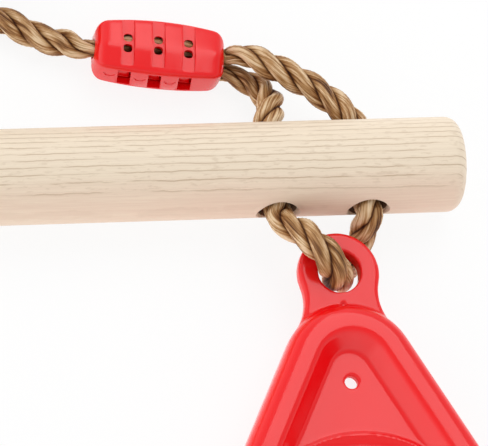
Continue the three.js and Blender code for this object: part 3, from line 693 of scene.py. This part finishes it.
def clampShells():
    top, split = clamp["height"] / 2, clamp["split"]
    slotXs = [place * clamp["slotPitch"] - clamp["slotShift"] for place in (-1, 0, 1)]

    def box(width, depth, low, high, x, y, rounding=0.0):
        return blockMesh(width * mm, depth * mm, (high - low) * mm, x * mm, y * mm,
                         (low + high) / 2 * mm, rounding * mm)

    chamber = clamp["slotPitch"] - clamp["toothThickness"]
    inner = clamp["width"] * clamp["endShare"] - 2 * clamp["wall"]
    tall = clamp["height"] * clamp["endShare"] / 2 - clamp["wall"]
    chambers = joined(*[box(chamber, inner, -tall, tall, x, 0, clamp["chamberRounding"]) for x in slotXs])
    past = clamp["rounding"]
    strand = [(strandWay[0][0] - past, 0, 0), *strandWay, (clampHalf + past, *strandWay[-1][1:])]
    tail = [(clampHalf + past, *tailWay[0][1:]), (-clamp["tailInset"] - past, *tailWay[1][1:])]
    ways = [tubeMesh(strand, squeezed + clamp["nip"]), tubeMesh(tail, squeezed + clamp["nip"])]

    whole = barrelMesh()
    far = clamp["length"]
    cover = combine(whole.copy(), box(2 * far, far, -far, split, 0, 0))
    base = combine(whole, box(2 * far, far, split - clamp["gap"], far, 0, 0))
    base.transform(Matrix.Scale(clamp["baseShare"], 4, (0, 1, 0)))
    for hollow in [chambers, *ways]:
        cover = combine(cover, hollow.copy())
    slots, peeps, windows, pockets, hooks, catches = [], [], [], [], [], []

    def leaning(mesh):  # the windows and what is in them lean a little
        shear = Matrix.Identity(4)
        shear[0][2] = -clamp["windowLean"]
        mesh.transform(shear)
        return mesh

    rear = (clamp["peepBridge"] + clamp["rearPeep"]) / 2 + clamp["peepOffset"]
    front = clamp["peepOffset"] - (clamp["peepBridge"] + clamp["frontPeep"]) / 2
    hook, catch, gap = clamp["hookThickness"], clamp["catchDepth"], clamp["gap"]
    hookY = clamp["width"] / 2 - clamp["hookSetback"] - hook / 2
    catchY = hookY + (hook + catch) / 2 - clamp["catchSunk"]
    wide, deep = clamp["windowWidth"], 2 * (clamp["hookSetback"] + hook / 2)
    low, high, catchTop = clamp["windowLow"], clamp["windowHigh"], clamp["windowLow"] + clamp["catchHeight"]
    pocketLow, hookLow, ease = split - clamp["pocketRoot"], split - clamp["hookRoot"], clamp["hookRounding"]
    for x in slotXs:
        slots.append(slotMesh(x))
        peeps.append(box(clamp["peepLength"], clamp["rearPeep"], 0, 2 * top, x, rear, clamp["peepCorner"]))
        peeps.append(box(clamp["peepLength"], clamp["frontPeep"], 0, 2 * top, x, front, clamp["peepCorner"]))
        for side in (-1, 1):
            windows.append(box(wide, deep, low, high, x, side * clamp["width"] / 2, clamp["windowRounding"]))
            pockets.append(box(wide, hook + 2 * gap, pocketLow, high, x, side * hookY))
            hooks.append(box(wide - 2 * gap, hook, hookLow, high - gap, x, side * hookY, ease))
            catches.append(box(wide - 2 * gap, catch, low + gap, catchTop, x, side * catchY, ease))
    for tools in (joined(*slots), joined(*peeps), leaning(joined(*pockets)), leaning(joined(*windows))):
        cover = combine(cover, tools)
    base = combine(base, leaning(joined(*hooks)), "UNION")
    base = combine(base, leaning(joined(*catches)), "UNION")
    for hollow in [chambers, *ways]:
        base = combine(base, hollow.copy())
    cover, base = easedEdges(cover), easedEdges(base)
    cover = combine(cover, nailMarks(slotXs))
    return [smoothShaded(closedUp(shell, merging["trimmed"]), clamp["smoothAngle"])
            for shell in (cover, base)]


def easedEdges(shell):
    eased = withModifier(closedUp(shell, merging["slivers"]), "BEVEL", width=clamp["edge"] * mm, segments=2,
                         limit_method="ANGLE", angle_limit=math.radians(clamp["creaseAngle"]),
                         use_clamp_overlap=True)
    return closedUp(eased, merging["trimmed"])


def nailMarks(slotXs):  # a half-round groove beside each window
    marks = []
    half = clamp["nailWidth"] / 2
    for side in (-1, 1):
        for slotX in slotXs:
            middle = (slotX - clamp["slotPitch"] / 2, clamp["nailTop"])
            line = [(x, side * (clamp["width"] / 2 + clamp["nailOut"]) * belly(x), z)
                    for x, z in arc(half, 180, 360, clamp["nailSteps"], middle)]
            marks.append(tubeMesh(line, clamp["nailGroove"]))
    return joined(*marks)


coverShell, baseShell = clampShells()
for side, sign in (("right", 1), ("left", -1)):
    for level, spot in (("Lower", lowerClamp), ("Top", topClamp)):
        matrix = clampFrame(spot, sign)
        for part, shell in (("Cover", coverShell), ("Base", baseShell)):
            addPiece(f"{side}{level}{part}", placed(shell, matrix), plasticFinish,
                     [f"{side}_{level.lower()}_clamp_{part.lower()}"], "bar")
print("clamps moulded")

# Gym ring: a rounded triangle with a lug and an eye. Its own frame is at the eye, +Y to the bar
gymRing = {
    "apexHalfAngle": 27.7, "eyeToGrip": 151.0, "eyeToApex": 13.1, "apexRadius": 25.0, "corner": 30.0,
    "rim": 18.0, "squareness": 0.71, "slopeFoot": 8.0, "slopeLean": 40.0, "slopeEase": 3.0,
    "eye": 15.8, "lug": 15.2, "lugThickness": 6.2, "lugRounding": 1.6, "neck": 18.0,
    "web": 4.0, "webRounding": 0.2, "arch": 66.2, "archRadius": 41.0, "archSides": 160,
    "bead": 5.4, "beadRidge": 3.9, "beadHeight": 6.4, "hole": 5.0, "holeFromEye": 42.0,
    "pip": 1.15, "pipBelowLug": 12.8, "pipSides": 12, "pipRings": 8,
    "drillLength": 40.0, "drillSides": 96,
    "apexSteps": 24, "cornerSteps": 20, "rimSteps": 24, "easeSteps": 6, "lugSteps": 40, "neckSteps": 10,
    "voxel": 0.62, "smoothing": 0.5, "smoothings": 8,
    "eyeX": 240.0, "eyeY": -41.1, "eyeZ": 15.6, "drop": 2.64,
}


def rimLine(inset):
    tilt = gymRing["apexHalfAngle"]
    half = math.radians(tilt)
    middleY = -gymRing["eyeToApex"] - gymRing["apexRadius"]
    tip = middleY + gymRing["apexRadius"] / math.sin(half)
    base = (tip + gymRing["eyeToGrip"]) * math.tan(half)
    cornerX = base - gymRing["corner"] / math.tan((math.pi / 2 - half) / 2)
    cornerY = -gymRing["eyeToGrip"] + gymRing["corner"]
    corner = gymRing["corner"] - inset
    steps = gymRing["cornerSteps"]
    return [*arc(gymRing["apexRadius"] - inset, tilt, 180 - tilt, gymRing["apexSteps"], (0, middleY)),
            *arc(corner, 180 - tilt, 270, steps, (-cornerX, cornerY)),
            *arc(corner, -90, tilt, steps, (cornerX, cornerY))]


def flatPiece(points, thickness, rounding):  # a filled flat curve with rounded edges
    data = bpy.data.curves.new("flat", "CURVE")
    data.dimensions = "2D"
    data.fill_mode = "BOTH"
    data.extrude = (thickness / 2 - rounding) * mm
    data.bevel_depth = rounding * mm
    data.bevel_resolution = 4
    data.offset = -rounding * mm
    spline = data.splines.new("POLY")
    spline.points.add(len(points) - 1)
    for point, (x, y) in zip(spline.points, points):
        point.co = (x * mm, y * mm, 0, 1)
    spline.use_cyclic_u = True
    mesh = evaluated(linked("flat", data))
    bm = bmesh.new()
    bm.from_mesh(mesh)
    bmesh.ops.remove_doubles(bm, verts=bm.verts, dist=merging["trimmed"])
    bm.to_mesh(mesh)
    bm.free()
    return mesh


def rimSection():  # squarish outside, with a long slope down to the web inside
    half, power, ease = gymRing["rim"] / 2, gymRing["squareness"], gymRing["slopeEase"]
    lean = math.radians(gymRing["slopeLean"])
    reach = gymRing["slopeFoot"] * math.cos(lean) + gymRing["web"] / 2 * math.sin(lean) - ease
    noseX = reach / math.cos(lean)
    topX = (reach - (half - ease) * math.sin(lean)) / math.cos(lean)
    angle, steps = gymRing["slopeLean"], gymRing["easeSteps"]
    inner = [*arc(ease, -90, -angle, steps, (topX, ease - half)),
             *arc(ease, -angle, angle, steps, (noseX, 0)),
             *arc(ease, angle, 90, steps, (topX, half - ease))]
    outer = [(-half * abs(x) ** power, math.copysign(half * abs(y) ** power, y))
             for x, y in arc(1, 90, 270, gymRing["rimSteps"])]
    return [(-x / half, y / half) for x, y in reversed(inner + outer)]


def lugOutline():
    middleY = -gymRing["eyeToApex"] - gymRing["apexRadius"]
    toEye, toApex = gymRing["lug"] + gymRing["neck"], gymRing["apexRadius"] + gymRing["neck"]
    neckY = -(toEye**2 - toApex**2 + middleY**2) / (-2 * middleY)
    neckX = math.sqrt(toEye**2 - neckY**2)
    eyeTurn = math.degrees(math.atan2(neckY, neckX))
    apexTurn = math.degrees(math.atan2(neckY - middleY, neckX))
    inner, steps = gymRing["apexRadius"] - gymRing["rim"] / 2, gymRing["neckSteps"]
    return [*arc(gymRing["lug"], eyeTurn, 180 - eyeTurn, gymRing["lugSteps"]),
            *arc(gymRing["neck"], -eyeTurn, -apexTurn, steps, (-neckX, neckY)),
            *arc(inner, 180 - apexTurn, apexTurn, 2 * steps, (0, middleY)),
            *arc(gymRing["neck"], 180 + apexTurn, 180 + eyeTurn, steps, (neckX, neckY))]


def drillMesh(diameter, y):  # a long cylinder that cuts a round hole
    bm = bmesh.new()
    bmesh.ops.create_cone(bm, cap_ends=True, segments=gymRing["drillSides"], radius1=diameter / 2 * mm,
                          radius2=diameter / 2 * mm, depth=gymRing["drillLength"] * mm)
    bmesh.ops.translate(bm, vec=(0, y * mm, 0), verts=bm.verts)
    return meshOf(bm)


def webMesh():  # fills the ring's upper corner down to an arch with a raised bead
    inside = [p for p in rimLine(gymRing["rim"] / 2) if p[1] > -gymRing["eyeToGrip"] / 2]
    reach = gymRing["arch"] + gymRing["archRadius"] / 2
    tilt = math.radians(gymRing["apexHalfAngle"])
    tipAbove = (gymRing["apexRadius"] - gymRing["rim"] / 2) / math.sin(tilt)
    half = (reach - gymRing["eyeToApex"] - gymRing["apexRadius"] + tipAbove) * math.tan(tilt)
    outline = [*inside, (-half, -reach), (half, -reach)]
    archY = -gymRing["arch"] - gymRing["archRadius"]
    ridge, height = gymRing["archRadius"] + gymRing["beadRidge"], gymRing["beadHeight"] / 2
    foot, top = gymRing["archRadius"] + gymRing["bead"], gymRing["web"] / 2
    edge = top / 2
    profile = [(-edge, gymRing["archRadius"]), (-height, ridge), (-top, foot), (top, foot), (height, ridge),
               (edge, gymRing["archRadius"]), (-edge, gymRing["archRadius"])]
    bead = placed(lathed([(z * mm, r * mm) for z, r in profile], (0, 0, 1), gymRing["archSides"]),
                  Matrix.Translation((0, archY * mm, 0)))
    bead = combine(flatPiece(outline, 2 * gymRing["beadHeight"], gymRing["webRounding"]), bead, "INTERSECT")
    web = flatPiece(outline, gymRing["web"], gymRing["webRounding"])
    return combine(combine(web, drillMesh(2 * gymRing["archRadius"], archY)), bead, "UNION")


def pipMesh():  # a small dimple where the lug meets the rim
    bm = bmesh.new()
    bmesh.ops.create_uvsphere(bm, u_segments=gymRing["pipSides"], v_segments=gymRing["pipRings"],
                              radius=gymRing["pip"] * mm)
    spot = Vector((0, -gymRing["pipBelowLug"], gymRing["lugThickness"] / 2))
    bmesh.ops.translate(bm, vec=spot * mm, verts=bm.verts)
    return meshOf(bm)


def ringMesh():
    line = [(x * mm, y * mm, 0.0, gymRing["rim"] / 2 * mm) for x, y in rimLine(gymRing["rim"] / 2)]
    rim = faceOut(sweptMesh(line, rimSection(), closed=True)[0])
    lug = flatPiece(lugOutline(), gymRing["lugThickness"], gymRing["lugRounding"])
    body = combine(combine(rim, lug, "UNION"), webMesh(), "UNION")
    for diameter, y in ((gymRing["eye"], 0), (gymRing["hole"], -gymRing["holeFromEye"])):
        body = combine(body, drillMesh(diameter, y))
    body = combine(body, pipMesh())
    body = withModifier(body, "REMESH", mode="VOXEL", voxel_size=gymRing["voxel"] * mm)
    body = withModifier(body, "SMOOTH", factor=gymRing["smoothing"], iterations=gymRing["smoothings"])
    return smoothShaded(body)


moulded = ringMesh()
for side, sign in (("right", 1), ("left", -1)):
    matrix = Matrix.Translation(fromBar(sign * gymRing["eyeX"], gymRing["eyeY"], gymRing["eyeZ"])) @ \
        Matrix.Rotation(math.radians(gymRing["drop"]), 4, "X")
    addPiece(f"{side}GymRing", placed(moulded, matrix), plasticFinish,
             [f"{side}_gym_ring"], f"{side}_gym_ring")
print("gym rings moulded")

# Rope ways: shares of the rope, of the hole spacing and of the eye's distance from the bar
neck = {"length": 9.6, "side": 2.4, "restHeight": 6.3, "clearance": 1.2}
outerLegShares = [
    (-3.35, 2.492, -0.258, 0.367), (-2.9, 2.275, -0.1, 0.45), (-2.35, 1.92, -0.017, 0.5),
    (-1.6, 1.46, -0.017, 0.5), (-1, 1.02, -0.008, 0.5), (-0.58, 0.608, 0, 0.5),
    (-0.26, 0.242, 0, 0.5), (-0.09, -0.125, 0, 0.5),
]
innerLegShares = [
    (-0.58, 2.06, -0.942, 0.367), (-0.10, 1.80, -0.942, 0.45), (0.27, 1.36, -0.792, 0.5),
    (0.33, 0.875, -0.458, 0.5), (0.17, 0.425, -0.125, 0.5), (0, -0.083, 0, 0.5),
]
loopShares = [
    (0, -0.041, 0), (0, 0.033, 0), (0.038, 0.163, 0.142), (0.135, 0.333, 0.45),
    (0.25, 0.52, 0.65), (0.38, 0.745, 0.675), (0.50, 0.93, 0.425), (0.58, 0.99, -0.133),
    (0.63, 0.925, -0.633), (0.72, 0.748, -0.933), (0.832, 0.52, -0.95), (0.929, 0.321, -0.75),
    (0.985, 0.159, -0.275), (1, 0.041, 0), (1, -0.041, 0),
]
runRoute = [(-112.2, 59.6, 6.1), (-119.2, 63.6, 6.1), (-127, 67.4, 6.1), (-142, 71, 6.1),
            (-158, 72.4, 6.1), (-175, 77.4, 6.1)]
endRoute = [(16, -0.8, -1), (33, -3.5, -5.2), (48, -7.6, -9.8)]
coil = {"middle": 132.0, "gap": 0.6, "inboard": 154.0, "fromBar": 150.0, "start": 235, "end": 90,
        "extraTurns": 2, "turnSteps": 36}
eye = {"reach": 42.0, "lift": 10.5, "height": 17.1, "bendSteps": 6}
eyeTopShares = [(0.119, 0.2, 0.558, 0.383), (0.31, 0.133, 0.71, 0.5), (0.571, 0.05, 0.92, 0.5)]
eyeUndersideShares = [(0.571, -0.033, 0.239, 0.5), (0.31, -0.133, 0.239, 0.5), (0.119, -0.2, 0.239, 0.383)]
ropeRadius = rope["diameter"] / 2
holeSpacing = bar["holeX"] - bar["innerHoleX"]
faceY = barRadius / mm


def mirroredStops(stops, sign):  # stops in mm, x counted on the right side
    return [(*(fromBar(sign * x, y, z)), radius * mm) for x, y, z, radius in stops]


def inClamp(spot, x, y, z, radius):  # a stop given in a clamp's own frame
    turn = math.radians(spot["heading"])
    return (bar["holeX"] - spot["inboard"] + x * math.cos(turn) - y * math.sin(turn),
            spot["fromBar"] + x * math.sin(turn) + y * math.cos(turn), clamp["height"] / 2 + z, radius)


def strandStops(spot, first=0):  # through a clamp, towards its +X end
    return [inClamp(spot, *at, squeezed) for at in strandWay[first:]] + \
        [inClamp(spot, clampHalf + neck["clearance"], *strandWay[-1][1:], squeezed)]


def neckStops(spot):  # from the middle of a clamp's end wall out to the full rope
    drop = clamp["height"] / 2 - neck["restHeight"]
    return [inClamp(spot, -clampHalf + clamp["strandTurn"], 0, 0, squeezed),
            inClamp(spot, -clampHalf, 0, 0, squeezed),
            inClamp(spot, -clampHalf - neck["clearance"], 0, 0, squeezed),
            inClamp(spot, -clampHalf - neck["length"] / 2, neck["side"] / 3, -drop / 2,
                    (ropeRadius + squeezed) / 2),
            inClamp(spot, -clampHalf - neck["length"], neck["side"], -drop, ropeRadius)]


def tailStops(spot):  # from outside a clamp's +X end to the cut end of the rope inside it
    return [inClamp(spot, clampHalf + neck["clearance"], *tailWay[0][1:], squeezed),
            inClamp(spot, *tailWay[0], squeezed), inClamp(spot, 0, *tailWay[0][1:], squeezed),
            inClamp(spot, *tailWay[1], squeezed)]


def legStops(shares, x):  # from a clamp round to the bar and into its hole
    size = rope["diameter"]
    return [(x + a * size, faceY + out * size, faceY + up * size, r * size) for a, out, up, r in shares] + \
        [(x, 0, faceY, ropeRadius), (x, -faceY + rope["legInHole"], faceY, ropeRadius)]


def coilPoints():
    pitch = rope["diameter"] + coil["gap"]
    sweep = coil["start"] - coil["end"] + 360 * coil["extraTurns"]
    steps = round(coil["turnSteps"] * sweep / 360)
    points = []
    for i in range(steps + 1):
        swept = sweep * i / steps
        radius = coil["middle"] / 2 + pitch / 2 - pitch * (sweep / 2 - abs(swept - sweep / 2)) / 360
        climb = min(max((swept - sweep / 2) / 180 + 0.5, 0), 1)
        turn = math.radians(coil["start"] - swept)
        points.append((bar["holeX"] - coil["inboard"] + radius * math.cos(turn),
                       coil["fromBar"] + radius * math.sin(turn), ropeRadius + climb * pitch, ropeRadius))
    return points


def mainRopeStops():
    turns = coilPoints()
    lastX, lastY, lastZ, _ = turns[-1]
    return [*neckStops(lowerClamp),
            *[(bar["holeX"] + x, y, z, ropeRadius) for x, y, z in runRoute], *turns,
            *[(lastX + x, lastY + y, lastZ + z, ropeRadius) for x, y, z in endRoute],
            *reversed(neckStops(topClamp))]


def eyeStops():
    height = clamp["height"] / 2

    def flank(shares):
        return [inClamp(topClamp, clampHalf + a * eye["reach"], side * rope["diameter"],
                        up * (eye["height"] + eye["lift"]) - height, r * rope["diameter"])
                for a, side, up, r in shares]

    bend = [inClamp(topClamp, clampHalf + eye["reach"] + along, 0, eye["height"] - height + up, ropeRadius)
            for along, up in arc(eye["lift"], 90, -90, eye["bendSteps"])]
    return [*strandStops(topClamp, 1), *flank(eyeTopShares), *bend, *flank(eyeUndersideShares),
            *tailStops(topClamp)]


def loopStops():  # the loop starts deep in its holes
    start, reach = rope["loopInHole"] - faceY, rope["loopReach"] - faceY
    stops = [(bar["innerHoleX"], start, faceY, ropeRadius)]
    for along, out, up in loopShares:
        swell = rope["loopSwell"] * math.sin(math.pi * along) ** 4
        stops.append((bar["innerHoleX"] + along * holeSpacing, -faceY - out * reach,
                      faceY + up * rope["diameter"], ropeRadius * (1 + swell)))
    return [*stops, (bar["holeX"], start, faceY, ropeRadius)]


for side, sign in (("right", 1), ("left", -1)):
    ropeFits(f"{side}OuterLeg", mirroredStops(
        [*strandStops(lowerClamp, 1), *legStops(outerLegShares, bar["holeX"])], sign),
        [f"{side}_rope_outer_leg"], "bar")
    ropeFits(f"{side}InnerLeg", mirroredStops(
        [*reversed(tailStops(lowerClamp)), *legStops(innerLegShares, bar["innerHoleX"])], sign),
        [f"{side}_rope_inner_leg"], "bar", phase=rope["innerLegTurn"])
    loop, _, _ = ropeFits(f"{side}RingLoop", mirroredStops(loopStops(), sign), [f"{side}_rope_ring_loop"])
    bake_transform(loop)
    ropeFits(f"{side}Eye", mirroredStops(eyeStops(), sign), [f"{side}_rope_eye"], "bar")
    print(side, "rope fitted")

# Steel hanging ring, its wire welded into a circle
steelRing = {
    "outside": 56.0, "wire": 7.0, "drop": 15.99, "sides": 120, "wireSides": 28,
    "weldTurn": 0.5, "weldLength": 1.6, "weldSwell": 0.09,
}


def steelMesh():
    wire = steelRing["wire"] / 2 * mm
    middle = steelRing["outside"] / 2 * mm - wire
    bm = bmesh.new()
    bmesh.ops.create_circle(bm, segments=steelRing["wireSides"], radius=wire,
                            matrix=Matrix.Rotation(math.pi / 2, 4, "X"))
    bmesh.ops.translate(bm, vec=(-middle, 0, 0), verts=bm.verts)
    bmesh.ops.spin(bm, geom=bm.verts[:] + bm.edges[:], cent=(0, 0, 0), axis=(0, 0, 1), dvec=(0, 0, 0),
                   angle=2 * math.pi, steps=steelRing["sides"], use_merge=True)
    bmesh.ops.remove_doubles(bm, verts=bm.verts, dist=merging["doubles"])
    for vert in bm.verts:  # a low bead where the wire's ends are welded, on the side away from the rope
        turn = math.atan2(vert.co.y, vert.co.x)
        spine = Vector((math.cos(turn), math.sin(turn), 0)) * middle
        past = (turn - steelRing["weldTurn"]) * middle / (steelRing["weldLength"] * mm)
        vert.co = spine + (vert.co - spine) * (1 + steelRing["weldSwell"] * math.exp(-past**2))
    bmesh.ops.recalc_face_normals(bm, faces=bm.faces)
    bmesh.ops.translate(bm, vec=(middle, 0, 0), verts=bm.verts)
    return smoothShaded(meshOf(bm))


steel = steelMesh()
for side, sign in (("right", 1), ("left", -1)):
    inEye = Vector((clampHalf + eye["reach"], 0, eye["height"] - clamp["height"] / 2)) * mm
    matrix = clampFrame(topClamp, sign) @ Matrix.Translation(inEye) @ \
        Matrix.Rotation(math.radians(steelRing["drop"]), 4, "Y")
    ringPiece = addPiece(f"{side}SteelRing", placed(steel, matrix), steelFinish,
                         [f"{side}_steel_ring"], f"{side}_steel_ring")
    stops = mirroredStops(mainRopeStops(), sign)
    cord, line, length = ropeFits(f"{side}Rope", stops,
                                  [f"{side}_rope_run", f"{side}_rope_coil", f"{side}_rope_end"], "bar")
    print(side, "free rope, m:", round(length, 3))
print("rings and free ropes fitted")

# Studio: a white sweep, a wide soft light high up behind the bar, and a darker surround low down
studio = {
    "floorSize": 6.0, "floorBelow": 0.2, "floorWhite": 0.99, "floorShadow": 0.12, "floorBounce": 0.6,
    "floorGlow": 0.61, "low": 1.48, "high": 0.56, "leftSide": 1.55, "rightSide": 0.6,
    "leftPart": (0.02, 0.16), "brightest": (2.0, 4.0),
    "lamp": 13.8, "lampSize": 1.5, "lampAt": (690, 860, 1750), "lampAim": (200, 0, 0),
}


def seenDirectly(tree):  # 1 where the camera looks straight at it, 0 for the light that it gives
    return node(tree, "LightPath")


def makeFloor():
    bm = bmesh.new()
    bmesh.ops.create_grid(bm, x_segments=2, y_segments=2, size=studio["floorSize"] / 2)
    floor = linked("floor", meshOf(bm, "floor"))
    material, tree, shader = newMaterial("whiteSweep", Roughness=0.9, Specular_IOR_Level=0.1)
    direct, shadow, glow = seenDirectly(tree), studio["floorShadow"], studio["floorGlow"]
    tone = blendColours(tree, direct, grey(studio["floorBounce"]), grey(shadow))
    tree.links.new(tone, shader.inputs["Base Color"])
    shader.inputs["Emission Color"].default_value = grey(1)
    shine = calc(tree, "MULTIPLY_ADD", direct, studio["floorWhite"] - shadow - glow, glow)
    tree.links.new(shine, shader.inputs["Emission Strength"])
    floor.data.materials.append(material)
    floor.location.z = -studio["floorBelow"] * mm


def makeSurround():  # bright low down and on the left, darker high up and on the right
    world = bpy.data.worlds.new("surround")
    world.use_nodes = True
    tree = world.node_tree
    looking = split3(tree, node(tree, "TexCoord"))
    upMost, sideMost = studio["brightest"]  # a ramp holds 0 to 1, so each is scaled by its brightest
    rise = ramp(tree, looking[2], (0.0, studio["low"] / upMost), (1.0, studio["high"] / upMost))
    leftEdge, leftEnd = studio["leftPart"]
    aside = ramp(tree, calc(tree, "MULTIPLY_ADD", looking[0], 0.5, 0.5),
                 (leftEdge, studio["leftSide"] / sideMost), (leftEnd, 1 / sideMost), (0.5, 1 / sideMost),
                 (1.0, studio["rightSide"] / sideMost))
    level = calc(tree, "MULTIPLY", calc(tree, "MULTIPLY", rise, aside), upMost * sideMost)
    sky = node(tree, "CombineColor", {0: level, 1: level, 2: level})
    shown = blendColours(tree, seenDirectly(tree), sky, grey(1))
    tree.links.new(shown, tree.nodes["Background"].inputs[0])
    bpy.context.scene.world = world


def makeLamp():
    lamp = bpy.data.lights.new("overhead", "AREA")
    lamp.size = studio["lampSize"]
    lamp.energy = studio["lamp"]
    light = linked("overhead", lamp)
    light.location = fromBar(*studio["lampAt"])
    aim = fromBar(*studio["lampAim"]) - light.location
    light.rotation_euler = aim.to_track_quat("-Z", "Y").to_euler()


makeFloor()
makeSurround()
makeLamp()
bpy.context.scene.view_settings.view_transform = "Standard"
print("studio set")
